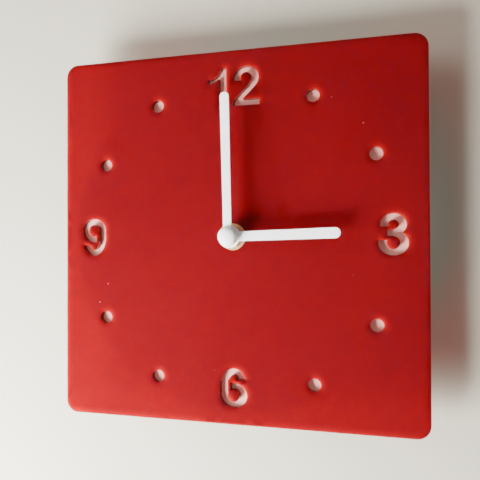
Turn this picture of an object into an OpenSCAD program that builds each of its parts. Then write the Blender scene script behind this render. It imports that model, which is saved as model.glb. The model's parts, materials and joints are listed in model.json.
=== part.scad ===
// Wall clock: a square acrylic plate with cut-out numerals over a round white disc,
// baton hands and a battery movement behind.
// Millimetres. X to the right, Z up, the dial faces -Y.
// The origin is on the shaft's axis in the wall's plane.

/* [Dial] */
// Side of the square face plate
plate_side = 200; // [170:1:260]
// Thickness of the face plate
plate_t = 3; // [2:0.5:5]
// Corner radius of the face plate
plate_corner_r = 7; // [2:1:20]
// Diameter of the white disc behind the plate
disc_d = 190; // [150:1:196]
// Thickness of the white disc
disc_t = 3; // [1.5:0.5:5]
// Height of the numerals
numeral_h = 21; // [14:1:26]
// Distance of the numerals' centres from the shaft
numeral_r = 81.5; // [60:0.5:82]
// Radius of the ring of hour dots
dot_ring_r = 86.2; // [60:0.1:88]
// Diameter of an hour dot
dot_d = 6.8; // [3:0.1:9]
// How far the ring of dots sits below the shaft
dot_ring_drop = 1.9; // [0:0.1:3]

/* [Hands] */
// Length of the minute hand from the shaft's axis
minute_hand_l = 75; // [50:1:90]
// Width of the minute hand near its tip
minute_hand_w = 4.8; // [3:0.1:7]
// Diameter of the minute hand's boss
minute_boss_d = 10; // [8:0.5:12]
// Length of the hour hand from the shaft's axis
hour_hand_l = 57.5; // [35:0.5:70]
// Width of the hour hand near its tip
hour_hand_w = 5.5; // [3.5:0.1:8]
// Diameter of the hour hand's boss
hour_boss_d = 12; // [9:0.5:14]
// Thickness of both hands
hand_t = 0.9; // [0.5:0.1:1.4]
// How much narrower a hand is at its boss than near its tip
hand_taper = 0.4; // [0:0.1:1]
// Minute hand, degrees clockwise from twelve
minute_angle = -1.2; // [-180:0.1:180]
// Hour hand, degrees clockwise from twelve
hour_angle = 88.4; // [-180:0.1:180]
// Height of the dome cap
cap_h = 3.2; // [2:0.1:5]

/* [Shaft] */
// Outside diameter of the threaded bush
bush_d = 8; // [7:0.5:10]
// How far the bush stands out of the case
bush_l = 11.5; // [10.8:0.1:16]
// Outside diameter of the hour pipe
hour_pipe_d = 5; // [4.6:0.1:5.4]
// Outside diameter of the minute pipe
minute_pipe_d = 3.2; // [2.6:0.1:3.6]
// Diameter of the seconds arbor
seconds_arbor_d = 1; // [0.8:0.1:1.4]
// Diameter of the brass washer
washer_d = 14.2; // [12.5:0.1:20]
// Thickness of the brass washer
washer_t = 0.8; // [0.5:0.1:1.2]
// Nut, across its flats
nut_flats = 10; // [9.5:0.5:13]
// Height of the nut
nut_h = 2.4; // [1.5:0.1:3]

/* [Movement] */
// Side of the square movement case
case_side = 56; // [54:1:70]
// Depth of the movement case
case_depth = 16; // [16:0.5:20]
// Wall thickness of the case
case_wall = 1.2; // [0.8:0.1:1.6]
// Corner radius of the case
case_corner_r = 2.5; // [1:0.5:5]
// Thickness of the rear cover
cover_t = 1.2; // [1:0.1:1.6]
// Thickness of the rubber gasket
gasket_t = 1; // [0.5:0.1:2]
// Diameter of the rubber gasket
gasket_d = 22; // [16:1:40]
// Diameter of the setting knob
knob_d = 11; // [8:0.5:12]

/* [Battery] */
// Diameter of the cell
cell_d = 14.3; // [13.5:0.1:14.5]
// Length of the cell with its nub
cell_l = 50.3; // [49:0.1:50.5]

/* [Hanger] */
// Width of the hanging strap
hanger_w = 22; // [18:1:30]
// Height of the strap above the case
hanger_h = 15; // [13:0.5:24]
// Thickness of the strap
hanger_t = 1; // [0.8:0.1:1.6]
// Diameter of the keyhole that passes a screw's head
keyhole_d = 8; // [7:0.5:9]

/* [Fits] */
// Gap on the radius where one shaft turns in another
running_gap = 0.05; // [0.02:0.01:0.09]
// Gap between pieces that only pass each other
free_gap = 0.3; // [0.2:0.05:0.4]
// Share of the pitch that a tooth fills
tooth_share = 0.42; // [0.36:0.01:0.45]

/* [Hidden] */
$fn = 64;
ARC_STEPS = 48;
PRESSURE_ANGLE = 20;

// Depths along Y, from the wall towards the viewer
case_y = -case_depth;
gasket_y = case_y - gasket_t;
disc_y = gasket_y - disc_t;
plate_y = disc_y - plate_t;
washer_y = plate_y - washer_t;
nut_y = washer_y - nut_h;
bush_y = min(case_y - bush_l, nut_y - 0.8);
hand_gap = 1.5;
boss_grip = 1.2;
hour_boss_h = hand_t + boss_grip;
minute_boss_h = hand_t + 0.5;
hour_hand_y = bush_y - hand_gap - hour_boss_h;
minute_hand_y = hour_hand_y - hand_gap - minute_boss_h;
cap_rim_h = 0.8;
case_inner_y = case_y + case_wall;
cover_inner_y = -cover_t;

// Layers of the wheel train, as distances behind the case's front wall
hour_wheel_y = case_inner_y + free_gap;
hour_wheel_t = 1;
minute_wheel_y = hour_wheel_y + hour_wheel_t + 0.4;
minute_wheel_t = 1;
centre_wheel_y = minute_wheel_y + minute_wheel_t + 0.4;
centre_wheel_t = 1;
train_plate_y = centre_wheel_y + centre_wheel_t + 0.5;
train_plate_t = 1;
third_wheel_y = train_plate_y + train_plate_t + 0.4;
third_wheel_t = 0.8;
seconds_wheel_y = third_wheel_y + third_wheel_t + 0.5;
seconds_wheel_t = 0.8;
fifth_wheel_y = seconds_wheel_y + seconds_wheel_t + 0.6;
fifth_wheel_t = 0.8;
magnet_y = fifth_wheel_y + fifth_wheel_t + 0.4;
magnet_h = 2;
stator_y = magnet_y + 0.6;
stator_t = 0.8;
pivot_depth = 0.5;
rear_pivot_y = cover_inner_y + pivot_depth;

// Tooth counts and modules
cannon_teeth = 12;
minute_teeth = 36;
minute_module = 0.4;
minute_pinion_teeth = 10;
hour_teeth = 40;
motion_distance = minute_module * (cannon_teeth + minute_teeth) / 2;
hour_module = 2 * motion_distance / (minute_pinion_teeth + hour_teeth);
centre_teeth = 64;
third_pinion_teeth = 8;
centre_module = 0.25;
third_distance = centre_module * (centre_teeth + third_pinion_teeth) / 2;
third_teeth = 60;
seconds_pinion_teeth = 8;
third_module = 2 * third_distance / (third_teeth + seconds_pinion_teeth);
seconds_teeth = 50;
fifth_pinion_teeth = 10;
seconds_module = 0.26;
fifth_distance = seconds_module * (seconds_teeth + fifth_pinion_teeth) / 2;
fifth_teeth = 48;
rotor_teeth = 8;
fifth_module = 0.25;
rotor_distance = fifth_module * (fifth_teeth + rotor_teeth) / 2;

// Where the arbors stand, as directions and places seen from the front
minute_dir = 0;
third_dir = 150;
fifth_dir = 75;
rotor_dir = 60;
function polar(r, a) = [r * cos(a), r * sin(a)];
minute_at = polar(motion_distance, minute_dir);
third_at = polar(third_distance, third_dir);
fifth_at = polar(fifth_distance, fifth_dir);
rotor_at = fifth_at + polar(rotor_distance, rotor_dir);

// The angle of a wheel that meshes with another: from the other one's angle, both tooth counts and the way to it
function mesh_angle(angle, teeth, own_teeth, dir) =
  dir + 180 + 180 / own_teeth - (angle - dir) * teeth / own_teeth;
minute_phase = mesh_angle(0, cannon_teeth, minute_teeth, minute_dir);
hour_phase = mesh_angle(0, minute_pinion_teeth, hour_teeth, minute_dir + 180);
third_pinion_phase = mesh_angle(0, centre_teeth, third_pinion_teeth, third_dir);
seconds_pinion_phase = mesh_angle(0, third_teeth, seconds_pinion_teeth, third_dir + 180);
fifth_pinion_phase = mesh_angle(0, seconds_teeth, fifth_pinion_teeth, fifth_dir);
rotor_phase = mesh_angle(0, fifth_teeth, rotor_teeth, rotor_dir);

// An arbor stops short of the end of its hole by this much
end_play = 0.1;
arbor_d = 0.8;
minute_arbor_d = 1.4;
rotor_arbor_d = 0.6;
cannon_tail_d = 2.2;
bush_r = bush_d / 2;
hour_pipe_r = hour_pipe_d / 2;
minute_pipe_r = minute_pipe_d / 2;
thread_pitch = 0.75;
thread_depth = 0.35;
bush_flange_d = bush_d + 6;
bush_flange_t = 0.7;

// The case: the battery bay lies across the bottom, the wheels above it
case_half = case_side / 2;
bay_half = case_half - case_wall;
cell_r = cell_d / 2;
cell_z = -bay_half + free_gap + cell_r;
bay_top = cell_z + cell_r + free_gap;
train_bottom = bay_top + case_wall;
contact_t = 0.5;
cell_right = bay_half - contact_t - free_gap / 2;
cell_left = cell_right - cell_l;
cell_y = case_inner_y + free_gap / 2 + cell_r;
cell_nub_d = 5.5;
cell_nub_l = 1.2;

// The knob sits in a well of the rear cover
well_floor_t = 1;
knob_t = 1.6;
knob_y = -0.4 - knob_t;
well_y = knob_y - free_gap - well_floor_t;
well_r = knob_d / 2 + free_gap + 0.7;
knob_r = knob_d / 2;

// Bosses round the pivots in the rear cover
pivot_boss_d = 2.4;
pivot_boss_h = 0.6;
seconds_boss_d = 3;

// Posts that carry the train plate and the stator
post_d = 3;
plate_posts = [[-19, train_bottom + 3], [19, train_bottom + 3], [-19, 22.5], [19, 22.5]];
stator_posts = [[11.4, 11.4], [-14.2, 16.2]];
stator_post_d = 2.4;

// The coil lies along the top
coil_z = 23.2;
coil_half_l = 9.5;
coil_x = -1.5;
core_t = 0.8;
core_w = 3;
core_y = stator_y - core_t;
coil_y = core_y + core_t / 2;
coil_r = 2.8;
bobbin_wall = 0.4;
bobbin_flange_t = 0.6;

// The circuit board stands along the left wall
board_w = 8.6;
board_t = 0.8;
board_y = cover_inner_y - 2.4;
board_low = train_bottom + 5;
board_high = 17;
board_x = -bay_half + 0.2;

// Strap, with what is left of it below the keyhole and above its slot
keyhole_slot_w = 3.6;
strap_y = -0.6 - hanger_t;
strap_foot_l = 8;
strap_corner_r = 3;
keyhole_rim = 1.6;
slot_rim = 2.2;
screw_d = 2;
screw_y = -strap_foot_l / 2 - 1.6;

// Numerals, drawn at a height of 21 and scaled to numeral_h
DRAWN_H = 21;
stem_w = 4.2;
bar_w = 3.35;

// ---------- shared shapes ----------

// Extrudes a shape drawn in X and Z from the depth y, towards the wall, by t
module slab(y, t) {
  translate([0, y + t, 0]) rotate([90, 0, 0]) linear_extrude(t) children();
}

// A round bar along Y
module rod(y, l, d, at = [0, 0]) {
  translate([at[0], y + l, at[1]]) rotate([90, 0, 0]) cylinder(h = l, d = d);
}

// Moves pieces to an arbor's place
module on(at) {
  translate([at[0], 0, at[1]]) children();
}

function ellipse_points(rx, rz, from = 0, to = 360) =
  [for (i = [0 : ARC_STEPS]) let (a = from + (to - from) * i / ARC_STEPS) [rx * cos(a), rz * sin(a)]];

function ellipse_loop(rx, rz) =
  [for (i = [0 : ARC_STEPS - 1]) let (a = 360 * i / ARC_STEPS) [rx * cos(a), rz * sin(a)]];

module ellipse(rx, rz) {
  polygon(ellipse_loop(rx, rz));
}

module rounded_square(w, h, r) {
  translate([-w / 2 + r, -h / 2]) square([w - 2 * r, h]);
  translate([-w / 2, -h / 2 + r]) square([w, h - 2 * r]);
  for (sx = [-1, 1], sz = [-1, 1])
    translate([sx * (w / 2 - r), sz * (h / 2 - r)]) circle(r);
}

// Half the angle that a tooth spans at a radius, with involute flanks
function roll(a) = tan(a) * 180 / PI - a;
function flank_angle(teeth, pitch_r, base_r, r) =
  180 * tooth_share / teeth + roll(PRESSURE_ANGLE) - roll(acos(min(1, base_r / r)));

module gear_outline(teeth, mod, phase = 0) {
  pitch_r = teeth * mod / 2;
  base_r = pitch_r * cos(PRESSURE_ANGLE);
  root_r = pitch_r - 1.25 * mod;
  tip_r = pitch_r + 0.85 * mod;
  radii = [root_r, pitch_r, (pitch_r + tip_r) / 2, tip_r];
  half_angles = [for (r = radii) flank_angle(teeth, pitch_r, base_r, max(r, base_r))];
  polygon([
    for (i = [0 : teeth - 1])
      for (side = [-1, 1])
        for (k = [0 : 3])
          let (j = side < 0 ? k : 3 - k)
            polar(radii[j], phase + 360 * i / teeth + side * half_angles[j])
  ]);
}

// A wheel with five round windows
module wheel(y, t, teeth, mod, phase, bore_d) {
  rim = teeth * mod / 2;
  slab(y, t) difference() {
    gear_outline(teeth, mod, phase);
    circle(d = bore_d);
    if (rim > 5)
      for (i = [0 : 4]) rotate(72 * i + 36) translate([rim * 0.56, 0]) circle(rim * 0.19);
  }
}

// ---------- numerals, in a plane with Y up ----------

// The six: a stem bent over the top and a bowl, with a bridge left at the stem so that the middle stays in
module numeral_six() {
  half_w = 7.4;
  half_h = DRAWN_H / 2;
  bowl_rz = 6.65;
  bowl_z = bowl_rz - half_h;
  bridge_w = 1.75;
  stem_in = half_w - stem_w;
  terminal_z = 4.6;
  difference() {
    union() {
      difference() {
        ellipse(half_w, half_h);
        ellipse(stem_in, half_h - bar_w);
        translate([0, -half_h - 1]) square([half_w + 1, half_h + 1 + terminal_z]);
        translate([6.6, 0]) square([3, half_h]);
      }
      translate([0, bowl_z]) difference() {
        ellipse(half_w, bowl_rz);
        ellipse(stem_in, bowl_rz - bar_w);
      }
    }
    translate([0, bowl_z]) ellipse(stem_in, bowl_rz - bar_w);
    translate([-stem_in, bowl_z + bowl_rz - bar_w - 1.6]) square([bridge_w, bar_w + 3]);
  }
}

module numeral_nine() {
  rotate(180) numeral_six();
}

module numeral_three() {
  bar_left = -2.95;
  upper_z = 4.95;
  lower_z = -4.2;
  upper_end = 3.95;
  lower_end = -2.85;
  bar_high = 2.35;
  bar_low = -0.75;
  difference() {
    union() {
      translate([0, upper_z]) difference() {
        ellipse(6.4, 5.6);
        ellipse(2.6, 2.3);
      }
      translate([0, lower_z]) difference() {
        ellipse(7.4, 6.35);
        ellipse(3.2, 3.15);
      }
    }
    translate([0, upper_z]) ellipse(2.6, 2.3);
    translate([0, lower_z]) ellipse(3.2, 3.15);
    translate([-9, lower_end]) square([9 + bar_left, upper_end - lower_end]);
    translate([bar_left - 1, bar_high]) square([1 - bar_left - 0.2, upper_end - bar_high]);
    translate([bar_left - 1, lower_end]) square([1 - bar_left, bar_low - lower_end]);
  }
}

module numeral_one() {
  half_h = DRAWN_H / 2;
  right = 1.95;
  left = right - 3.9;
  polygon(concat(
    [[right, -half_h], [right, half_h], [left + 0.9, half_h]],
    [for (a = [0 : 15 : 90]) [left + 0.9 - 7 * (1 - cos(a)), half_h - 6.2 * sin(a) * 0.98]],
    [[-8.2, 2.9], [-7.2, 1.7], [-4.6, 2.9], [left, 4.5], [left, -half_h]]
  ));
}

// One outline: over the bowl, down the diagonal, round the foot and back along the inside
module numeral_two() {
  half_h = DRAWN_H / 2;
  bowl_z = 4.1;
  outer_rz = half_h - bowl_z;
  inner_rz = outer_rz - bar_w;
  foot_left = -7.2;
  function lifted(points) = [for (p = points) [p[0], p[1] + bowl_z]];
  polygon(concat(
    lifted(ellipse_points(7, outer_rz, 190, -38)),
    [[1.9, -3.6], [-0.6, -5.8], [-1.8, bar_w - half_h]],
    [[7.4, bar_w - half_h], [7.4, -half_h], [foot_left, -half_h], [foot_left + 0.4, -8.1]],
    [[-5.6, -6.3], [-2.4, -3.1], [0.9, -0.2]],
    lifted(ellipse_points(3, inner_rz, -40, 203))
  ));
}

module numerals() {
  s = numeral_h / DRAWN_H;
  translate([0, numeral_r - 0.8]) scale(s) {
    translate([-5.5, 0]) numeral_one();
    translate([7.4, 0]) numeral_two();
  }
  translate([numeral_r + 1.2, 0.65]) scale(s) numeral_three();
  translate([0, -numeral_r + 0.8]) scale(s) numeral_six();
  translate([-numeral_r - 1, 0.3]) scale(s) numeral_nine();
}

module hour_dots() {
  for (hour = [0 : 11])
    if (hour % 3 != 0)
      translate(polar(dot_ring_r, 90 - 30 * hour) - [0, dot_ring_drop]) circle(d = dot_d);
}

// ---------- dial ----------

module face_plate() {
  color([0.76, 0.13, 0.12]) slab(plate_y, plate_t) difference() {
    rounded_square(plate_side, plate_side, plate_corner_r);
    numerals();
    hour_dots();
    circle(d = bush_d);
  }
}

module backing_disc() {
  color([0.96, 0.94, 0.92]) slab(disc_y, disc_t) difference() {
    circle(d = disc_d, $fn = 180);
    circle(d = bush_d);
  }
}

module rubber_gasket() {
  color([0.08, 0.08, 0.08]) slab(gasket_y, gasket_t) difference() {
    circle(d = gasket_d);
    circle(d = bush_d);
  }
}

module brass_washer() {
  color([0.85, 0.62, 0.35]) slab(washer_y, washer_t) difference() {
    circle(d = washer_d);
    circle(d = bush_d);
  }
}

module hex_nut() {
  corner_d = nut_flats / cos(30);
  color([0.85, 0.62, 0.35]) difference() {
    intersection() {
      slab(nut_y, nut_h) circle(d = corner_d, $fn = 6);
      translate([0, nut_y + nut_h, 0]) rotate([90, 0, 0]) union() {
        cylinder(h = nut_h - 0.5, d = corner_d + 0.1);
        translate([0, 0, nut_h - 0.5]) cylinder(h = 0.5, d1 = corner_d + 0.1, d2 = nut_flats - 0.2);
      }
    }
    rod(nut_y - 1, nut_h + 2, bush_d);
  }
}

// The thread is a row of rings
module threaded_bush() {
  bore_r = hour_pipe_r + running_gap;
  root_r = bush_r - thread_depth;
  thread_h = -case_y + 0.3;
  rings = floor((-bush_y - 0.6 - thread_h) / thread_pitch);
  color([0.85, 0.65, 0.38]) rotate([90, 0, 0]) rotate_extrude() polygon(concat(
    [[bore_r, -case_inner_y], [bush_r, -case_inner_y], [bush_r, -case_y - bush_flange_t]],
    [[bush_flange_d / 2, -case_y - bush_flange_t], [bush_flange_d / 2, -case_y], [root_r, -case_y]],
    [for (i = [0 : rings - 1]) each [
      [root_r, thread_h + (i + 0.1) * thread_pitch],
      [bush_r, thread_h + (i + 0.45) * thread_pitch],
      [bush_r, thread_h + (i + 0.65) * thread_pitch],
      [root_r, thread_h + (i + 1) * thread_pitch]
    ]],
    [[root_r, -bush_y], [bore_r, -bush_y]]
  ));
}

// ---------- hands ----------

// A baton seen from the front, pointing up from inside the boss and widening to its round tip
module baton(length, width, boss_d) {
  tip_r = width / 2;
  root_half_w = tip_r - hand_taper / 2;
  root_z = boss_d * 0.3;
  polygon(concat(
    [[root_half_w, root_z]],
    [for (a = [0 : 12 : 180]) [tip_r * cos(a), length - tip_r + tip_r * sin(a)]],
    [[-root_half_w, root_z]]
  ));
}

module hand(y, length, width, boss_d, boss_h, bore_d) {
  difference() {
    union() {
      slab(y, hand_t) baton(length, width, boss_d);
      rod(y, boss_h, boss_d);
    }
    rod(y - 1, boss_h + 2, bore_d);
  }
}

module hour_hand() {
  color([0.97, 0.96, 0.95]) rotate([0, hour_angle, 0])
    hand(hour_hand_y, hour_hand_l, hour_hand_w, hour_boss_d, hour_boss_h, hour_pipe_d);
}

module minute_hand() {
  color([0.97, 0.96, 0.95]) rotate([0, minute_angle, 0])
    hand(minute_hand_y, minute_hand_l, minute_hand_w, minute_boss_d, minute_boss_h, minute_pipe_d);
}

// The dome is hollow, so that the seconds arbor turns free inside it
module hand_cap() {
  cap_r = minute_boss_d / 2;
  dome_h = cap_h - cap_rim_h;
  hollow_r = minute_pipe_r - 0.4;
  hollow_h = 1.7;
  color([0.97, 0.96, 0.95]) translate([0, minute_hand_y, 0]) rotate([90, 0, 0]) rotate_extrude()
    polygon(concat(
      [[0, cap_h], [0, hollow_h], [hollow_r, hollow_h], [hollow_r, 0], [cap_r, 0]],
      [for (i = [0 : 11]) let (a = i * 90 / 12) [cap_r * cos(a), cap_rim_h + dome_h * sin(a)]]
    ));
}

// ---------- case ----------

module case_front() {
  train_h = bay_half - train_bottom;
  color([0.1, 0.1, 0.11]) difference() {
    union() {
      difference() {
        slab(case_y, case_depth) rounded_square(case_side, case_side, case_corner_r);
        slab(case_inner_y, case_depth)
          translate([-bay_half, train_bottom]) square([2 * bay_half, train_h]);
        slab(case_inner_y, case_depth)
          translate([-bay_half, -bay_half]) square([2 * bay_half, bay_top + bay_half]);
        slab(cover_inner_y, cover_t + 1)
          translate([-case_half - 1, train_bottom - case_wall / 2]) square([case_side + 2, case_side]);
      }
      for (at = plate_posts) rod(case_inner_y, train_plate_y - case_inner_y, post_d, at);
      for (z = [board_low + 2, board_high - 2])
        rod(case_inner_y, board_y - case_inner_y, post_d, [board_x + post_d / 2 + 0.2, z]);
    }
    rod(case_y - 1, case_wall + 2, bush_d);
    rod(case_y - 1, bush_flange_t + 1, bush_flange_d);
    rod(case_inner_y - pivot_depth, pivot_depth + 1, minute_arbor_d + 2 * running_gap, minute_at);
    rod(case_inner_y - pivot_depth, pivot_depth + 1, arbor_d + 2 * running_gap, third_at);
    translate([0, screw_y, case_half + 1]) rotate([180, 0, 0]) cylinder(h = 5, d = screw_d);
  }
}

module rear_cover() {
  low = train_bottom - case_wall / 2;
  well_depth = -well_y;
  color([0.14, 0.14, 0.15]) difference() {
    union() {
      slab(cover_inner_y, cover_t) intersection() {
        rounded_square(case_side, case_side, case_corner_r);
        translate([-case_half, low]) square([case_side, case_side]);
      }
      on(minute_at) rod(well_y, well_depth, 2 * well_r);
      rod(cover_inner_y - 1, 1, seconds_boss_d);
      for (at = [third_at, fifth_at]) rod(cover_inner_y - pivot_boss_h, pivot_boss_h, pivot_boss_d, at);
      rod(cover_inner_y - pivot_boss_h, pivot_boss_h, 2, rotor_at);
    }
    on(minute_at) {
      rod(well_y + well_floor_t, well_depth, knob_d + 2 * free_gap);
      rod(well_y - 1, well_depth, minute_arbor_d + 2 * running_gap);
    }
    rod(cover_inner_y - 2, 2 + pivot_depth, seconds_arbor_d + 2 * running_gap);
    for (at = [third_at, fifth_at])
      rod(cover_inner_y - 2, 2 + pivot_depth, arbor_d + 2 * running_gap, at);
    rod(cover_inner_y - 2, 2 + pivot_depth, rotor_arbor_d + 2 * running_gap, rotor_at);
  }
}

// A foot on top of the case and an upright strap with a keyhole
module hanger() {
  z0 = case_half;
  foot_y = strap_y + hanger_t - strap_foot_l;
  hole_z = z0 + hanger_t + keyhole_rim + keyhole_d / 2;
  top_z = z0 + hanger_h;
  color([0.72, 0.73, 0.75]) difference() {
    union() {
      translate([-hanger_w / 2, foot_y, z0]) cube([hanger_w, strap_foot_l, hanger_t]);
      slab(strap_y, hanger_t) {
        translate([-hanger_w / 2, z0]) square([hanger_w, hanger_h - strap_corner_r]);
        translate([-hanger_w / 2 + strap_corner_r, z0]) square([hanger_w - 2 * strap_corner_r, hanger_h]);
        for (s = [-1, 1])
          translate([s * (hanger_w / 2 - strap_corner_r), top_z - strap_corner_r]) circle(strap_corner_r);
      }
    }
    rod(strap_y - 1, hanger_t + 2, keyhole_d, [0, hole_z]);
    slab(strap_y - 1, hanger_t + 2)
      translate([-keyhole_slot_w / 2, hole_z]) square([keyhole_slot_w, top_z - slot_rim - hole_z]);
    translate([0, screw_y, z0 - 1]) cylinder(h = 4, d = screw_d);
  }
}

module hanger_screw() {
  head_d = 3.8;
  head_h = 1.2;
  cross_l = 2.4;
  cross_w = 0.5;
  cross_depth = 0.5;
  z0 = case_half + hanger_t;
  color([0.8, 0.8, 0.82]) translate([0, screw_y, z0]) difference() {
    union() {
      cylinder(h = head_h, d = head_d);
      translate([0, 0, -hanger_t - case_wall]) cylinder(h = hanger_t + case_wall + 0.1, d = screw_d);
    }
    translate([-cross_l / 2, -cross_w / 2, head_h - cross_depth]) cube([cross_l, cross_w, 1]);
    translate([-cross_w / 2, -cross_l / 2, head_h - cross_depth]) cube([cross_w, cross_l, 1]);
  }
}

// ---------- wheel train ----------

module train_plate() {
  half_w = 20.8;
  top = 25.4;
  color([0.88, 0.87, 0.82]) difference() {
    union() {
      slab(train_plate_y, train_plate_t)
        translate([-half_w, train_bottom + 1]) square([2 * half_w, top - train_bottom - 1]);
      for (at = stator_posts)
        rod(train_plate_y, stator_y - train_plate_y, stator_post_d, at);
    }
    rod(train_plate_y - 1, train_plate_t + 2, seconds_arbor_d + 2 * running_gap);
    rod(train_plate_y - 1, train_plate_t + 2, 3.6, third_at);
    rod(train_plate_y - 1, train_plate_t + 2, minute_arbor_d + 0.6, minute_at);
    rod(train_plate_y - 1, train_plate_t + 2, arbor_d + 2 * running_gap, fifth_at);
    rod(train_plate_y - 1, train_plate_t + 2, rotor_arbor_d + 2 * running_gap, rotor_at);
  }
}

module hour_wheel() {
  color([0.92, 0.91, 0.86]) difference() {
    union() {
      wheel(hour_wheel_y, hour_wheel_t, hour_teeth, hour_module, hour_phase, minute_pipe_d + 2 * running_gap);
      rod(hour_hand_y, hour_wheel_y - hour_hand_y, hour_pipe_d);
    }
    rod(hour_hand_y - 1, hour_wheel_y - hour_hand_y + 3, minute_pipe_d + 2 * running_gap);
  }
}

module cannon_pinion() {
  tail_y = centre_wheel_y + centre_wheel_t + 0.3;
  color([0.85, 0.66, 0.36]) difference() {
    union() {
      rod(minute_hand_y, minute_wheel_y - minute_hand_y, minute_pipe_d);
      slab(minute_wheel_y, minute_wheel_t) gear_outline(cannon_teeth, minute_module);
      rod(minute_wheel_y + minute_wheel_t, tail_y - minute_wheel_y - minute_wheel_t, cannon_tail_d);
    }
    rod(minute_hand_y - 1, tail_y - minute_hand_y + 2, seconds_arbor_d + 2 * running_gap);
  }
}

module minute_wheel() {
  color([0.92, 0.91, 0.86]) on(minute_at) difference() {
    union() {
      wheel(minute_wheel_y, minute_wheel_t, minute_teeth, minute_module, minute_phase, minute_arbor_d);
      slab(hour_wheel_y, minute_wheel_y - hour_wheel_y) gear_outline(minute_pinion_teeth, hour_module);
    }
    rod(hour_wheel_y - 1, 5, minute_arbor_d);
  }
}

module minute_arbor() {
  front_y = case_inner_y - pivot_depth + end_play;
  color([0.75, 0.76, 0.78]) rod(front_y, knob_y + knob_t - 0.4 - front_y, minute_arbor_d, minute_at);
}

module setting_knob() {
  grips = 24;
  grip_d = 0.7;
  slot_w = 1;
  color([0.9, 0.9, 0.9]) on(minute_at) difference() {
    rod(knob_y, knob_t, knob_d);
    rod(knob_y - 1, knob_t + 0.6, minute_arbor_d);
    for (i = [0 : grips - 1]) rod(knob_y - 1, knob_t + 2, grip_d, polar(knob_r + 0.1, 360 * i / grips));
    slab(-1, 1) translate([-knob_r * 0.6, -slot_w / 2]) square([knob_r * 1.2, slot_w]);
  }
}

module centre_wheel() {
  color([0.85, 0.66, 0.36])
    wheel(centre_wheel_y, centre_wheel_t, centre_teeth, centre_module, 0, cannon_tail_d + 2 * running_gap);
}

// A pinion and the plain arbor that it turns on
module pinion_arbor(y0, y1, d, gear_y, gear_t, teeth, mod, phase) {
  rod(y0, y1 - y0, d);
  slab(gear_y, gear_t) gear_outline(teeth, mod, phase);
}

module third_wheel() {
  color([0.92, 0.91, 0.86]) on(third_at)
    wheel(third_wheel_y, third_wheel_t, third_teeth, third_module, 0, arbor_d);
}

module third_arbor() {
  color([0.75, 0.76, 0.78]) on(third_at) pinion_arbor(
    case_inner_y - pivot_depth + end_play, rear_pivot_y - end_play, arbor_d,
    centre_wheel_y - 0.1, centre_wheel_t + 0.2, third_pinion_teeth, centre_module, third_pinion_phase);
}

module seconds_wheel() {
  color([0.92, 0.91, 0.86])
    wheel(seconds_wheel_y, seconds_wheel_t, seconds_teeth, seconds_module, 0, seconds_arbor_d);
}

module seconds_arbor() {
  color([0.75, 0.76, 0.78]) pinion_arbor(
    minute_hand_y - 1.2, rear_pivot_y - end_play, seconds_arbor_d,
    third_wheel_y - 0.1, third_wheel_t + 0.2, seconds_pinion_teeth, third_module, seconds_pinion_phase);
}

module fifth_wheel() {
  color([0.92, 0.91, 0.86]) on(fifth_at)
    wheel(fifth_wheel_y, fifth_wheel_t, fifth_teeth, fifth_module, 0, arbor_d);
}

module fifth_arbor() {
  color([0.75, 0.76, 0.78]) on(fifth_at) pinion_arbor(
    train_plate_y + end_play, rear_pivot_y - end_play, arbor_d,
    seconds_wheel_y - 0.1, seconds_wheel_t + 0.2, fifth_pinion_teeth, seconds_module, fifth_pinion_phase);
}

module rotor_pinion() {
  color([0.75, 0.76, 0.78]) on(rotor_at) pinion_arbor(
    train_plate_y + end_play, rear_pivot_y - end_play, rotor_arbor_d,
    fifth_wheel_y - 0.1, fifth_wheel_t + 0.2, rotor_teeth, fifth_module, rotor_phase);
}

module rotor_magnet() {
  color([0.25, 0.25, 0.28]) on(rotor_at) difference() {
    rod(magnet_y, magnet_h, 5.6);
    rod(magnet_y - 1, magnet_h + 2, rotor_arbor_d);
  }
}

// ---------- coil and electronics ----------

// The stator is a yoke round the rotor, with two arms up to the coil's core
stator_right = rotor_at[0] + 7;
stator_left = -16;
yoke_low = 9.8;
yoke_high = 18;
arm_w = 3.5;
arm_low = yoke_high - arm_w;
rotor_hole_d = 6.6;

module stator() {
  arm_top = coil_z + core_w / 2 + 0.5;
  color([0.6, 0.6, 0.62]) slab(stator_y, stator_t) difference() {
    union() {
      translate([-3, yoke_low]) square([stator_right + 3, yoke_high - yoke_low]);
      translate([stator_left, arm_low]) square([14, arm_w]);
      for (x = [stator_left, stator_right - arm_w])
        translate([x, arm_low]) square([arm_w, arm_top - arm_low]);
    }
    translate(rotor_at) circle(d = rotor_hole_d);
  }
}

module coil_core() {
  color([0.55, 0.55, 0.58]) slab(core_y, core_t)
    translate([stator_left, coil_z - core_w / 2]) square([stator_right - stator_left, core_w]);
}

// A round bar along X around the coil's axis
module along_coil(x, l, d) {
  translate([x, coil_y, coil_z]) rotate([0, 90, 0]) cylinder(h = l, d = d);
}

module coil_bobbin() {
  sleeve_d = sqrt(core_w * core_w + core_t * core_t) + 2 * bobbin_wall;
  color([0.2, 0.2, 0.22]) difference() {
    union() {
      along_coil(coil_x - coil_half_l, 2 * coil_half_l, sleeve_d);
      for (x = [coil_x - coil_half_l, coil_x + coil_half_l - bobbin_flange_t])
        along_coil(x, bobbin_flange_t, 2 * coil_r + 0.4);
    }
    translate([-40, core_y, coil_z - core_w / 2]) cube([80, core_t, core_w]);
  }
}

module coil_winding() {
  sleeve_d = sqrt(core_w * core_w + core_t * core_t) + 2 * bobbin_wall;
  x0 = coil_x - coil_half_l + bobbin_flange_t;
  l = 2 * (coil_half_l - bobbin_flange_t);
  color([0.72, 0.36, 0.16]) difference() {
    along_coil(x0, l, 2 * coil_r);
    along_coil(x0 - 1, l + 2, sleeve_d);
  }
}

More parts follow.
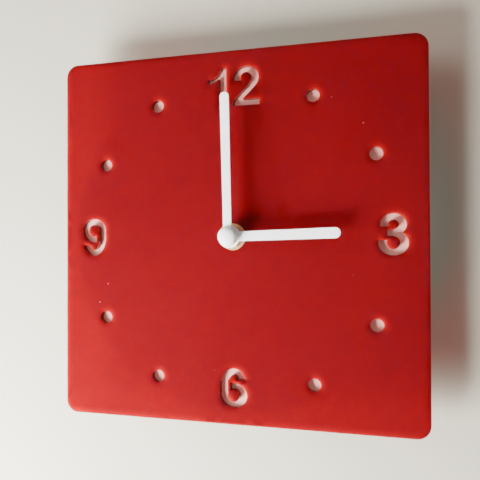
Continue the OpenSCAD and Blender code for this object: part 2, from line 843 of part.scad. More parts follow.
module circuit_board() {
  color([0.12, 0.35, 0.2]) slab(board_y, board_t)
    translate([board_x, board_low]) square([board_w, board_high - board_low]);
}

module quartz_crystal() {
  r = 0.7;
  l = 6;
  color([0.8, 0.8, 0.82])
    translate([board_x + 6.6, board_y + board_t + r, board_low + 1]) cylinder(h = l, r = r);
}

module chip_blob() {
  r = 2.6;
  rise = 1.1;
  color([0.05, 0.05, 0.05]) translate([board_x + 3.4, board_y + board_t, 9])
    rotate([-90, 0, 0]) rotate_extrude() polygon(concat(
      [[0, 0]],
      [for (i = [0 : 6]) let (a = i * 15) [r * cos(a), rise * sin(a)]]
    ));
}

// ---------- battery ----------

module battery() {
  body_l = cell_l - cell_nub_l;
  color([0.75, 0.5, 0.25]) translate([cell_left, cell_y, cell_z]) rotate([0, 90, 0])
    rotate_extrude() polygon([
    [0, 0], [cell_r - 1.2, 0], [cell_r - 0.8, 0.4], [cell_r - 0.3, 0.4], [cell_r, 0.8],
    [cell_r, body_l - 0.8], [cell_r - 0.4, body_l - 0.2], [cell_nub_d / 2 + 0.6, body_l],
    [cell_nub_d / 2, body_l], [cell_nub_d / 2, cell_l - 0.3], [cell_nub_d / 2 - 0.3, cell_l], [0, cell_l]
  ]);
}

module positive_contact() {
  contact_w = 10;
  contact_l = 13;
  color([0.8, 0.8, 0.82]) translate([bay_half - contact_t, case_inner_y, cell_z - contact_w / 2])
    cube([contact_t, contact_l, contact_w]);
}

// A conical wire spring with a flat plate behind it
module negative_spring() {
  wire_r = 0.35;
  turns = 2.5;
  steps = 40;
  sides = 6;
  x0 = -bay_half + 0.4 + wire_r;
  x1 = cell_left - free_gap / 2 - wire_r;
  function along(t) = let (r = 4.2 - 1.8 * t, a = 360 * turns * t)
    [x0 + (x1 - x0) * t, cell_y + r * cos(a), cell_z + r * sin(a)];
  function ring(i) = let (t = i / steps, a = 360 * turns * t, c = along(t))
    [for (k = [0 : sides - 1]) let (b = 360 * k / sides)
      c + wire_r * [sin(b), cos(b) * cos(a), cos(b) * sin(a)]];
  points = [for (i = [0 : steps]) each ring(i)];
  faces = concat(
    [[for (k = [sides - 1 : -1 : 0]) k]],
    [for (i = [0 : steps - 1]) for (k = [0 : sides - 1]) let (n = (k + 1) % sides)
      [i * sides + n, (i + 1) * sides + n, (i + 1) * sides + k, i * sides + k]],
    [[for (k = [0 : sides - 1]) steps * sides + k]]
  );
  color([0.8, 0.8, 0.82]) {
    polyhedron(points, faces);
    translate([-bay_half, case_inner_y, cell_z - 5]) cube([0.5, 13, 10]);
  }
}

face_plate();
backing_disc();
rubber_gasket();
brass_washer();
hex_nut();
threaded_bush();
hour_hand();
minute_hand();
hand_cap();
case_front();
rear_cover();
hanger();
hanger_screw();
train_plate();
hour_wheel();
cannon_pinion();
minute_wheel();
minute_arbor();
setting_knob();
centre_wheel();
third_wheel();
third_arbor();
seconds_wheel();
seconds_arbor();
fifth_wheel();
fifth_arbor();
rotor_pinion();
rotor_magnet();
stator();
coil_core();
coil_bobbin();
coil_winding();
circuit_board();
quartz_crystal();
chip_blob();
battery();
positive_contact();
negative_spring();
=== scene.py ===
"""The looks of a square acrylic wall clock, built round its CAD frame."""

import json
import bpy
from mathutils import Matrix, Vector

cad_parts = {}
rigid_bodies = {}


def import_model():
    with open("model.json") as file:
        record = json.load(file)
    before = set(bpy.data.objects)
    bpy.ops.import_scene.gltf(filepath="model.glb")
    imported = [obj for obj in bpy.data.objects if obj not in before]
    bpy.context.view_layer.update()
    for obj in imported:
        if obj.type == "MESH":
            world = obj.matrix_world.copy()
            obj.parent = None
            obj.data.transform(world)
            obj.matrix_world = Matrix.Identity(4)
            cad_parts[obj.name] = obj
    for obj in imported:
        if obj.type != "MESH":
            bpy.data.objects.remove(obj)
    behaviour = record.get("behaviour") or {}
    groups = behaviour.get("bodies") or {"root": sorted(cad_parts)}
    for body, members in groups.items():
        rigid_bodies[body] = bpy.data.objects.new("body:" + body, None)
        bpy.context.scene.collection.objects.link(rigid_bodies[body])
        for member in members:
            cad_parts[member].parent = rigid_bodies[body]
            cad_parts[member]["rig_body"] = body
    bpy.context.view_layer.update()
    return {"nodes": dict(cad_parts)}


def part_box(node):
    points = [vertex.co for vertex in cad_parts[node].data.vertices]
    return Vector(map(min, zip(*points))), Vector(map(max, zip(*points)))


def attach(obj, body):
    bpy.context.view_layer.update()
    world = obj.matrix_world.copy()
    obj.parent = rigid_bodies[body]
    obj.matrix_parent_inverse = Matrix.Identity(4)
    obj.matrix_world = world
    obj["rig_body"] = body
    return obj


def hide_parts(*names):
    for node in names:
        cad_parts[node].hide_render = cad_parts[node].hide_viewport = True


bl_info = {
    "name": "Acrylic wall clock",
    "version": (1, 0, 0),
    "blender": (4, 5, 0),
    "location": "View3D > Sidebar > Wall clock",
    "description": "Dresses the clock's CAD frame with its acrylic dial, hands and movement",
    "category": "Add Mesh",
}

from math import cos, pi, radians, sin, tau

import bmesh
import bpy
from bpy.props import FloatProperty, FloatVectorProperty, PointerProperty
from bpy.types import Operator, Panel, PropertyGroup
from mathutils import Matrix, Vector
from mathutils.kdtree import KDTree

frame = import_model()
MM = 0.001
TO_KEY = Vector((-1.18, -1.0, -1.14)).normalized()  # from the dial towards the key light
ACRYLIC_IOR = 1.49
ACRYLIC_SCATTER = (4.0 * MM, 0.4 * MM, 0.3 * MM)  # how far red, green and blue light travel in the red sheet
JOINED = 0.002 * MM  # corners nearer than this are one
FLAT = 0.95  # a face with more of its normal than this along Y belongs to the front or the back


# ---------- places, from the frame ----------


def low(node):
    """A node's lowest corner. Its Y is the face nearest to the reader."""
    return Vector(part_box(node)[0])


def high(node):
    """A node's highest corner. Its Y is the face nearest to the wall."""
    return Vector(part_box(node)[1])


def middle(node):
    return (low(node) + high(node)) / 2


def size(node):
    return high(node) - low(node)


def body_of(node):
    """The name of the body that a node rides on."""
    return frame["nodes"][node]["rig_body"]


# ---------- what a user may change ----------


def length(name, description, default, top=1.0):
    return FloatProperty(
        name=name, description=description, default=default, min=0.0, max=top, unit="LENGTH", precision=5
    )


def colour(name, description, default):
    return FloatVectorProperty(
        name=name, description=description, default=default, size=3, min=0.0, max=1.0, subtype="COLOR"
    )


def turn(name, description, degrees):
    return FloatProperty(name=name, description=description, default=radians(degrees), subtype="ANGLE")


def power(name, description, default):
    return FloatProperty(name=name, description=description, default=default, min=0.0, unit="POWER")


class ClockSizes(PropertyGroup):
    plate_edge: length("Plate edge", "Rounding of the red plate's cut edges", 0.15 * MM)
    glow_reach: length("Glow reach", "How far the glow of a lit cut reaches", 4.2 * MM)
    disc_edge: length("Disc edge", "Rounding of the white disc's edge", 0.2 * MM)
    hand_edge: length("Hand edge", "Rounding of the hands' edges", 0.28 * MM)
    metal_edge: length("Metal edge", "Chamfer of the turned and stamped metal", 0.12 * MM)
    moulding_edge: length("Moulding edge", "Rounding of the movement's moulded edges", 0.25 * MM)
    spring_wire: length("Spring wire", "Diameter of the battery spring's wire", 0.7 * MM)
    spring_turns: FloatProperty(name="Spring turns", description="Turns of the battery spring", default=3.5)


class ClockColours(PropertyGroup):
    red: colour("Red acrylic", "The face plate, seen over the white disc", (0.18, 0.005, 0.0085))
    # Painted light: the brighter red painted beside cuts that face the key light.
    red_painted_glow: colour("Red glow", "Where light leaves the plate beside a lit cut", (0.40, 0.008, 0.011))
    # Painted shade: the numerals' walls get a darker red than the sheet.
    red_wall_painted_shade: colour("Red hole wall", "The walls of the cut numerals", (0.13, 0.004, 0.006))
    # Painted light: the outline's edges get a brighter red than the sheet.
    red_edge_painted_light: colour("Red cut edge", "The polished edges of the face plate", (0.32, 0.008, 0.009))
    red_tint: colour("Red tint", "What the plate lets through", (0.75, 0.02, 0.02))
    white: colour("White acrylic", "The disc behind the plate", (0.86, 0.8, 0.76))
    # Painted light: the pink painted on the disc's front, for the red plate's light that falls on it.
    painted_red_light: colour("White under red", "The disc's front, warmed by the plate", (0.80, 0.38, 0.32))
    hands: colour("Hands", "The hands and the cap", (0.9, 0.88, 0.87))
    brass: colour("Brass", "The washer, the nut and the bush", (0.86, 0.53, 0.25))
    case: colour("Case", "The movement's black plastic", (0.018, 0.018, 0.02))
    steel: colour("Steel", "Zinc plated strap and screws", (0.6, 0.61, 0.63))
    sleeve: colour("Cell sleeve", "The dark part of the cell's sleeve", (0.012, 0.012, 0.014))
    band: colour("Cell band", "The copper band of the cell's sleeve", (0.62, 0.27, 0.09))
    wire: colour("Winding", "The coil's lacquered wire", (0.42, 0.12, 0.035))


class ClockStage(PropertyGroup):
    wall: colour("Wall", "Paint of the wall", (0.50, 0.465, 0.37))
    floor: colour("Floor", "Pale floor", (0.76, 0.74, 0.71))
    sky: colour("Ambient", "Colour of the ambient light", (1.0, 0.97, 0.94))
    sky_strength: FloatProperty(
        name="Ambient strength", description="Strength of the ambient light", default=0.07, min=0.0
    )
    key_power: power("Key power", "Power of the key light", 20.5)
    key_distance: length("Key distance", "From the dial to the key light", 0.5, 5.0)
    key_side: length("Key size", "Diameter of the round key light", 0.34, 5.0)
    side_power: power("Side power", "Power of the light from the left", 1.2)
    rear_power: power("Rear power", "Power of the light on the back", 14.0)
    fill_left_power: power("Left fill power", "Power of the soft light on the left", 10.0)
    fill_right_power: power("Right fill power", "Power of the soft light on the right", 5.5)
    camera_x: length("Camera X", "Camera's place to the right of the shaft", 0.08003)
    camera_back: length("Camera distance", "From the plate's front to the camera", 0.28678)
    camera_drop: length("Camera drop", "Camera's place below the shaft", 0.00507)
    camera_yaw: turn("Camera yaw", "Turn of the view to the left", 14.88)
    camera_pitch: turn("Camera pitch", "Tilt of the view upwards", 0.647)
    camera_roll: turn("Camera roll", "Roll of the view", -0.21)
    focal: FloatProperty(
        name="Focal length", description="Focal length of the lens", default=41.77, min=1.0, unit="CAMERA"
    )


# ---------- finishes ----------


class Finish:
    """A material with its Principled shader, and short ways to put nodes before it."""

    def __init__(self, name, **sockets):
        self.material = bpy.data.materials.new(name)
        self.material.use_nodes = True
        self.tree = self.material.node_tree
        self.shader = self.tree.nodes["Principled BSDF"]
        self.output = self.tree.nodes["Material Output"]
        self.coords = self.node("ShaderNodeTexCoord").outputs["Object"]
        for socket, value in sockets.items():
            self.put(socket.replace("_", " "), value)

    def feed(self, target, value):
        """Sets a socket to a value, or links it to an output."""
        if isinstance(value, bpy.types.NodeSocket):
            self.tree.links.new(value, target)
        elif target.type == "RGBA" and len(value) == 3:
            target.default_value = (*value, 1.0)
        else:
            target.default_value = value

    def put(self, socket, value):
        """Feeds one of the shader's own sockets."""
        self.feed(self.shader.inputs[socket], value)

    def node(self, kind, inputs=(), **settings):
        """A new node. inputs pairs a socket's name or number with a value or an output."""
        made = self.tree.nodes.new(kind)
        for key, value in settings.items():
            setattr(made, key, value)
        for socket, value in dict(inputs).items():
            self.feed(made.inputs[socket], value)
        return made

    def math(self, operation, a, b=0.0):
        return self.node("ShaderNodeMath", {0: a, 1: b}, operation=operation).outputs[0]

    def stretched(self, scale, centre=(0, 0, 0)):
        """Object coordinates, centred on a point and scaled along each axis."""
        shift = self.node("ShaderNodeVectorMath", {0: self.coords, 1: centre}, operation="SUBTRACT")
        return self.node(
            "ShaderNodeVectorMath", {0: shift.outputs[0], 1: scale}, operation="MULTIPLY"
        ).outputs[0]

    def noise(self, scale, detail=3.0, roughness=0.55, vector=None):
        return self.node(
            "ShaderNodeTexNoise",
            {"Vector": vector or self.coords, "Scale": scale, "Detail": detail, "Roughness": roughness},
        ).outputs["Fac"]

    def ramp(self, value, low_end, high_end, low_value=0.0, high_value=1.0):
        """Value carried from one range to another, and held at its ends."""
        return self.node(
            "ShaderNodeMapRange",
            {0: value, 1: low_end, 2: high_end, 3: low_value, 4: high_value},
        ).outputs[0]

    def blend(self, factor, first, second):
        return self.node("ShaderNodeMix", {0: factor, 6: first, 7: second}, data_type="RGBA").outputs[2]

    def scatter(self, weight, radius):
        """Light that enters the surface and leaves it up to a radius away, for red, green and blue."""
        self.put("Subsurface Weight", weight)
        self.put("Subsurface Radius", radius)
        self.put("Subsurface Scale", 1.0)

    def let_through(self, tint, share):
        """Mixes a tinted clear shader with the Principled one."""
        clear = self.node("ShaderNodeBsdfTransparent", {"Color": tint}).outputs[0]
        both = self.node("ShaderNodeMixShader", {0: share, 1: self.shader.outputs[0], 2: clear}).outputs[0]
        self.tree.links.new(both, self.output.inputs["Surface"])

    def bump(self, height, strength, distance, normal=None):
        inputs = {"Strength": strength, "Distance": distance, "Height": height}
        if normal:
            inputs["Normal"] = normal
        made = self.node("ShaderNodeBump", inputs).outputs[0]
        self.put("Normal", made)
        return made

    def hairlines(self, scale, amount):
        """Fine scratches in two directions, from 0 to amount."""
        first = self.noise(scale, 2.0, 0.5, self.stretched((1.0, 1.0, 14.0)))
        second = self.noise(scale * 0.8, 2.0, 0.5, self.stretched((12.0, 1.0, 1.5)))
        both = self.math("ADD", self.ramp(first, 0.62, 0.74), self.ramp(second, 0.64, 0.76))
        return self.math("MULTIPLY", both, amount)


def shaded(base, factor):
    """A colour made lighter or darker."""
    return tuple(c * factor for c in base)


def red_acrylic(colours):
    """Glossy red sheet: a little light passes through, with dust and hairline scratches on its face, and
    painted glow and painted shade beside its cuts.
    """
    f = Finish("red_acrylic", Base_Color=colours.red, Roughness=0.07, IOR=ACRYLIC_IOR)
    cloud = f.ramp(f.noise(18.0, 2.0), 0.3, 0.7)
    flat = f.blend(cloud, shaded(colours.red, 0.97), shaded(colours.red, 1.03))
    # Painted light and shade: beside cuts that face the key light the red is painted brighter, beside the
    # others darker.
    glow = f.node("ShaderNodeAttribute", attribute_name="glow").outputs["Fac"]
    painted_shade = f.blend(f.ramp(glow, 0.0, -0.8), flat, shaded(colours.red, 0.5))
    painted_shading = f.blend(f.ramp(glow, 0.0, 0.8), painted_shade, colours.red_painted_glow)
    cells = f.node("ShaderNodeTexVoronoi", {"Vector": f.coords, "Scale": 190.0, "Randomness": 1.0})
    speck = f.ramp(cells.outputs["Distance"], 0.04, 0.075, 1.0, 0.0)
    chosen = f.ramp(f.node("ShaderNodeSeparateColor", {0: cells.outputs["Color"]}).outputs[0], 0.93, 0.94)
    dust = f.math("MULTIPLY", f.math("MULTIPLY", speck, chosen), 0.65)
    f.put("Base Color", f.blend(dust, painted_shading, (0.85, 0.5, 0.45)))
    smear = f.ramp(f.noise(30.0, 4.0, 0.6, f.stretched((1.0, 1.0, 2.2))), 0.35, 0.75, 0.05, 0.14)
    worn = f.math("ADD", f.hairlines(260.0, 0.12), f.math("MULTIPLY", dust, 0.6))
    f.put("Roughness", f.math("ADD", smear, worn))
    wave = f.math("ADD", f.noise(9.0, 1.0), f.math("MULTIPLY", f.noise(500.0, 2.0), 0.02))
    f.bump(wave, 0.18, 1.2 * MM)
    f.scatter(1.0, ACRYLIC_SCATTER)
    f.let_through(colours.red_tint, 0.36)
    return f.material


def red_cut_edge(name, base):
    """The cut edges of the sheet, with the fine ribs that a cutter leaves across them. The caller's base colour
    is painted light on the outline and painted shade in the numerals.
    """
    f = Finish(name, Base_Color=base, Roughness=0.16, IOR=ACRYLIC_IOR)
    f.put("Base Color", f.blend(f.ramp(f.noise(300.0), 0.35, 0.7), base, shaded(base, 0.8)))
    ribs = f.noise(900.0, 2.0, 0.5, f.stretched((1.0, 0.05, 1.0)))
    f.put("Roughness", f.ramp(ribs, 0.3, 0.7, 0.1, 0.26))
    f.bump(ribs, 0.35, 0.06 * MM)
    f.scatter(1.0, ACRYLIC_SCATTER)
    return f.material


def white_acrylic(colours):
    """Milky sheet, faintly uneven, its front painted pink and given a faint pink emission as painted light from
    the red sheet it lies against.
    """
    f = Finish("white_acrylic", Base_Color=colours.white, Roughness=0.22, IOR=ACRYLIC_IOR)
    depth = f.node("ShaderNodeSeparateXYZ", {0: f.coords}).outputs[1]
    front = f.ramp(depth, low("backing_disc").y, middle("backing_disc").y, 1.0, 0.0)
    milk = f.blend(f.ramp(f.noise(25.0), 0.3, 0.7), colours.white, shaded(colours.white, 0.94))
    mottle = f.ramp(f.noise(700.0), 0.3, 0.7)
    painted_red_light_mottled = f.blend(mottle, colours.painted_red_light, shaded(colours.painted_red_light, 0.88))
    f.put("Base Color", f.blend(front, milk, painted_red_light_mottled))
    f.put("Roughness", f.ramp(f.noise(60.0, 3.0), 0.3, 0.7, 0.16, 0.3))
    # Painted light: a faint pink glow on the front, for light carried through the red sheet.
    f.put("Emission Color", (1.0, 0.3, 0.24))
    f.put("Emission Strength", f.math("MULTIPLY", front, 0.09))
    f.bump(f.noise(400.0, 2.0), 0.08, 0.05 * MM)
    f.scatter(0.3, (1.6 * MM, 1.4 * MM, 1.2 * MM))
    return f.material


def hand_lacquer(colours):
    """White gloss lacquer with a trace of orange peel and dust."""
    f = Finish("hand_lacquer", Base_Color=colours.hands, Roughness=0.24, IOR=1.5)
    dust = f.ramp(f.noise(700.0, 2.0), 0.68, 0.78)
    tone = f.blend(f.ramp(f.noise(45.0, 2.0), 0.35, 0.65), colours.hands, (0.84, 0.81, 0.79))
    f.put("Base Color", f.blend(f.math("MULTIPLY", dust, 0.25), tone, (0.55, 0.5, 0.46)))
    f.put("Roughness", f.ramp(f.noise(120.0, 3.0), 0.3, 0.7, 0.2, 0.32))
    f.bump(f.noise(650.0, 1.0), 0.12, 0.04 * MM)
    f.put("Coat Weight", 0.5)
    f.put("Coat Roughness", 0.08)
    return f.material


def turned_brass(colours):
    """Brass with fine rings about the shaft and a few darker blotches."""
    f = Finish("turned_brass", Base_Color=colours.brass, Metallic=0.55, Roughness=0.3)
    from_shaft = f.node("ShaderNodeVectorMath", {0: f.stretched((1.0, 0.0, 1.0))}, operation="LENGTH")
    radius = f.math("MULTIPLY", from_shaft.outputs["Value"], 9000.0)
    rings = f.noise(1.0, 3.0, 0.6, f.node("ShaderNodeCombineXYZ", {0: radius}).outputs[0])
    tarnish = f.ramp(f.noise(160.0, 4.0), 0.45, 0.75)
    f.put("Base Color", f.blend(f.math("MULTIPLY", tarnish, 0.45), colours.brass, (0.6, 0.34, 0.14)))
    f.put("Roughness", f.math("ADD", f.ramp(rings, 0.3, 0.7, 0.22, 0.36), f.math("MULTIPLY", tarnish, 0.12)))
    f.bump(rings, 0.3, 0.02 * MM)
    return f.material


def moulded_plastic(name, base, grain=1400.0, rough=0.5, depth=0.5, milky=0.0):
    """Moulded plastic with a fine grain and faint flow marks. milky is its share of scattered light."""
    f = Finish(name, Base_Color=base, Roughness=rough)
    flow = f.ramp(f.noise(40.0, 4.0, 0.6, f.stretched((1.0, 1.0, 3.0))), 0.3, 0.7)
    light = tuple(min(1.0, c * 1.35 + 0.006) for c in base)
    f.put("Base Color", f.blend(f.math("MULTIPLY", flow, 0.6), base, light))
    speckle = f.noise(grain, 3.0, 0.6)
    f.put("Roughness", f.ramp(speckle, 0.3, 0.7, rough - 0.09, rough + 0.09))
    f.bump(speckle, depth, 0.03 * MM)
    if milky:
        f.scatter(milky, (0.9 * MM, 0.8 * MM, 0.6 * MM))
    return f.material


def cover_plastic():
    """The cover's grained plastic, with a raised arrow round the setting knob."""
    base = (0.026, 0.026, 0.028)
    f = Finish("cover_plastic", Base_Color=base, Roughness=0.55)
    from_knob = f.stretched((1.0, 0.0, 1.0), tuple(middle("setting_knob")))
    place = f.node("ShaderNodeSeparateXYZ", {0: from_knob}).outputs
    away = f.math("SQRT", f.math("ADD", f.math("POWER", place[0], 2.0), f.math("POWER", place[2], 2.0)))
    angle = f.math("ARCTAN2", place[2], place[0])
    ring_r, half_stroke, half_head = 8.6 * MM, 0.35 * MM, 1.1 * MM
    tip_angle, neck_angle, tail_angle = 0.42, 0.7, 2.2
    off_ring = f.math("ABSOLUTE", f.math("SUBTRACT", away, ring_r))
    past_neck, before_tail = f.math("GREATER_THAN", angle, neck_angle), f.math("LESS_THAN", angle, tail_angle)
    on_stroke = f.math("LESS_THAN", off_ring, half_stroke)
    shaft = f.math("MULTIPLY", f.math("MULTIPLY", past_neck, before_tail), on_stroke)
    tip = f.math("MULTIPLY", f.math("SUBTRACT", angle, tip_angle), ring_r / 2)
    point = f.math("MULTIPLY", f.math("LESS_THAN", off_ring, tip), f.math("LESS_THAN", tip, half_head))
    arrow = f.math("MAXIMUM", shaft, point)
    grain = f.noise(1100.0, 3.0, 0.6)
    flow = f.ramp(f.noise(40.0, 4.0, 0.6, f.stretched((1.0, 1.0, 3.0))), 0.3, 0.7)
    plastic = f.blend(f.math("MULTIPLY", flow, 0.6), base, (0.04, 0.04, 0.043))
    f.put("Base Color", f.blend(arrow, plastic, (0.12, 0.12, 0.125)))
    matt = f.ramp(grain, 0.3, 0.7, 0.46, 0.64)
    f.put("Roughness", f.math("SUBTRACT", matt, f.math("MULTIPLY", arrow, 0.15)))
    f.bump(arrow, 1.0, 0.15 * MM, f.bump(grain, 0.5, 0.03 * MM))
    return f.material


def plated_steel(name, base, along=(1.0, 1.0, 22.0), rough=0.32):
    """Plated steel with small stains and a rolled grain, drawn out along each axis by the given factors."""
    f = Finish(name, Base_Color=base, Metallic=1.0, Roughness=rough)
    grain = f.noise(900.0, 3.0, 0.6, f.stretched(tuple(1.0 / a for a in along)))
    stain = f.ramp(f.noise(120.0, 4.0), 0.5, 0.8)
    f.put("Base Color", f.blend(f.math("MULTIPLY", stain, 0.35), base, shaded(base, 0.7)))
    drawn = f.ramp(grain, 0.3, 0.7, rough - 0.08, rough + 0.08)
    f.put("Roughness", f.math("ADD", drawn, f.math("MULTIPLY", stain, 0.1)))
    f.bump(grain, 0.25, 0.02 * MM)
    return f.material


def black_rubber():
    """Matt rubber with a fine grey bloom."""
    f = Finish("black_rubber", Base_Color=(0.02, 0.02, 0.02), Roughness=0.75)
    grain = f.noise(1100.0, 4.0, 0.65)
    bloom = f.ramp(grain, 0.35, 0.7)
    f.put("Base Color", f.blend(bloom, (0.014, 0.014, 0.014), (0.045, 0.043, 0.042)))
    f.put("Roughness", f.ramp(grain, 0.3, 0.7, 0.65, 0.85))
    f.bump(grain, 0.6, 0.05 * MM)
    return f.material


def cell_sleeve(colours):
    """Printed sleeve: dark, with a copper band at the positive end and a thin pale ring beside it."""
    cell, band_share, fade = "battery", 0.28, 0.05 * MM
    f = Finish("cell_sleeve", Roughness=0.25, IOR=1.5)
    along = f.node("ShaderNodeSeparateXYZ", {0: f.coords}).outputs[0]
    edge = high(cell).x - band_share * size(cell).x
    ring_start, ring_end = edge - 0.8 * MM, edge - 0.45 * MM
    band = f.ramp(along, edge, edge + fade)
    started = f.ramp(along, ring_start, ring_start + fade)
    ring = f.math("MULTIPLY", started, f.ramp(along, ring_end, ring_end + fade, 1.0, 0.0))
    worn = f.ramp(f.noise(220.0, 4.0), 0.5, 0.8)
    dark = f.blend(f.math("MULTIPLY", worn, 0.2), colours.sleeve, (0.06, 0.06, 0.06))
    f.put("Base Color", f.blend(ring, f.blend(band, dark, colours.band), (0.75, 0.74, 0.7)))
    f.put("Metallic", f.math("MULTIPLY", band, 0.85))
    f.put("Roughness", f.math("ADD", f.ramp(worn, 0.0, 1.0, 0.2, 0.34), f.math("MULTIPLY", band, 0.08)))
    f.bump(f.noise(300.0, 2.0), 0.1, 0.04 * MM)
    f.put("Coat Weight", 0.4)
    f.put("Coat Roughness", 0.1)
    return f.material


def wound_wire(colours):
    """Turns of lacquered wire side by side along X, with painted shade between them."""
    f = Finish("wound_wire", Base_Color=colours.wire, Metallic=0.7, Roughness=0.35)
    waves = {"Vector": f.coords, "Scale": 900.0, "Distortion": 1.2, "Detail": 1.0}
    turns = f.node("ShaderNodeTexWave", waves, bands_direction="X")
    # Painted shade: the wire is darker in the grooves between its turns.
    painted_shading = f.blend(turns.outputs["Fac"], shaded(colours.wire, 0.35), colours.wire)
    f.put("Base Color", f.blend(f.ramp(f.noise(200.0), 0.4, 0.7), painted_shading, (0.6, 0.22, 0.08)))
    f.put("Roughness", f.ramp(f.noise(400.0), 0.3, 0.7, 0.26, 0.42))
    f.bump(turns.outputs["Fac"], 0.8, 0.06 * MM)
    return f.material


def solder_mask():
    """Green board with paler tracks under the mask."""
    f = Finish("solder_mask", Base_Color=(0.02, 0.13, 0.05), Roughness=0.3)
    weave = f.node("ShaderNodeTexBrick", {"Vector": f.coords, "Scale": 420.0, "Mortar Size": 0.03})
    tracks = f.ramp(f.noise(140.0, 0.0, 0.5), 0.49, 0.5)
    f.put("Base Color", f.blend(tracks, (0.012, 0.075, 0.03), (0.03, 0.2, 0.075)))
    f.put("Roughness", f.ramp(f.math("ADD", tracks, weave.outputs["Fac"]), 0.0, 2.0, 0.24, 0.4))
    f.bump(tracks, 0.4, 0.03 * MM)
    return f.material


def poured_resin():
    """Lumpy black resin poured over the chip."""
    f = Finish("poured_resin", Base_Color=(0.01, 0.01, 0.01), Roughness=0.25)
    lumps = f.noise(500.0, 2.0)
    f.put("Base Color", f.blend(f.ramp(lumps, 0.4, 0.7), (0.007, 0.007, 0.008), (0.02, 0.02, 0.022)))
    f.put("Roughness", f.ramp(lumps, 0.3, 0.7, 0.18, 0.4))
    f.bump(lumps, 0.3, 0.1 * MM)
    return f.material


def wall_paint(paint):
    """Matt paint with a roller's stipple. It shows on one side only, so the clock's back can be seen."""
    f = Finish("wall_paint", Base_Color=paint, Roughness=0.85)
    f.put("Base Color", f.blend(f.ramp(f.noise(6.0), 0.3, 0.7), paint, shaded(paint, 0.97)))
    f.bump(f.noise(260.0, 4.0, 0.6), 0.12, 0.3 * MM)
    f.let_through((1.0, 1.0, 1.0), f.node("ShaderNodeNewGeometry").outputs["Backfacing"])
    return f.material


# ---------- shared ways to make a piece ----------


def finished(bm, name, node, *materials, sharp=35.0):
    """Makes an object of a bmesh, with its sharp edges kept, that stands for a node and rides with it."""
    for face in bm.faces:
        face.smooth = True
    for edge in bm.edges:
        edge.smooth = not (edge.is_manifold and edge.calc_face_angle(0.0) > radians(sharp))
    mesh = bpy.data.meshes.new(name)
    bm.to_mesh(mesh)
    bm.free()
    for material in materials:
        mesh.materials.append(material)
    piece = bpy.data.objects.new(name, mesh)
    bpy.context.scene.collection.objects.link(piece)
    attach(piece, body_of(node))
    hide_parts(node)
    even = piece.modifiers.new("even_shading", "WEIGHTED_NORMAL")
    even.keep_sharp = True
    return piece


def cad_copy(node):
    """A bmesh of a node's mesh with its triangles joined into flat faces."""
    bm = bmesh.new()
    bm.from_mesh(frame["nodes"][node].data)
    bmesh.ops.remove_doubles(bm, verts=bm.verts, dist=JOINED)
    bmesh.ops.dissolve_limit(bm, angle_limit=radians(0.6), verts=bm.verts, edges=bm.edges)
    for face in bm.faces:
        face.material_index = 0
    return bm


def round_edges(bm, width, segments=2, sharp=50.0):
    """Bevels the edges that are sharper than an angle in degrees."""
    edges = [e for e in bm.edges if e.is_manifold and e.calc_face_angle(0.0) > radians(sharp)]
    bmesh.ops.bevel(
        bm, geom=edges, offset=width, offset_type="OFFSET", segments=segments, profile=0.5,
        affect="EDGES", clamp_overlap=True, material=-1,
    )


def dressed(node, name, material, width, segments=2, sharp=50.0):
    """A copy of a node with rounded edges."""
    bm = cad_copy(node)
    round_edges(bm, width, segments, sharp)
    return finished(bm, name, node, material)


def lathe(profile, centre, axis="Y", steps=96):
    """A closed turned body. The profile pairs a radius with a place along the axis, from end to end."""
    bm = bmesh.new()
    along = {"X": Vector((1, 0, 0)), "Y": Vector((0, 1, 0))}[axis]
    out = Vector((0, 0, 1))
    verts = [bm.verts.new(out * r + along * p) for r, p in profile]
    edges = [bm.edges.new(pair) for pair in zip(verts, verts[1:])]
    bmesh.ops.spin(
        bm, geom=verts + edges, cent=(0, 0, 0), axis=along, angle=tau, steps=steps, use_merge=True
    )
    bmesh.ops.remove_doubles(bm, verts=bm.verts, dist=0.001 * MM)
    bmesh.ops.recalc_face_normals(bm, faces=bm.faces)
    bmesh.ops.translate(bm, vec=centre, verts=bm.verts)
    return bm


def paint(node, material):
    """Gives a CAD node that stays its finish."""
    for place in frame["nodes"][node].material_slots:
        place.material = material


# ---------- the pieces ----------


class ClockOperator:
    """What every operator here shares."""

    bl_options = {"REGISTER", "UNDO"}


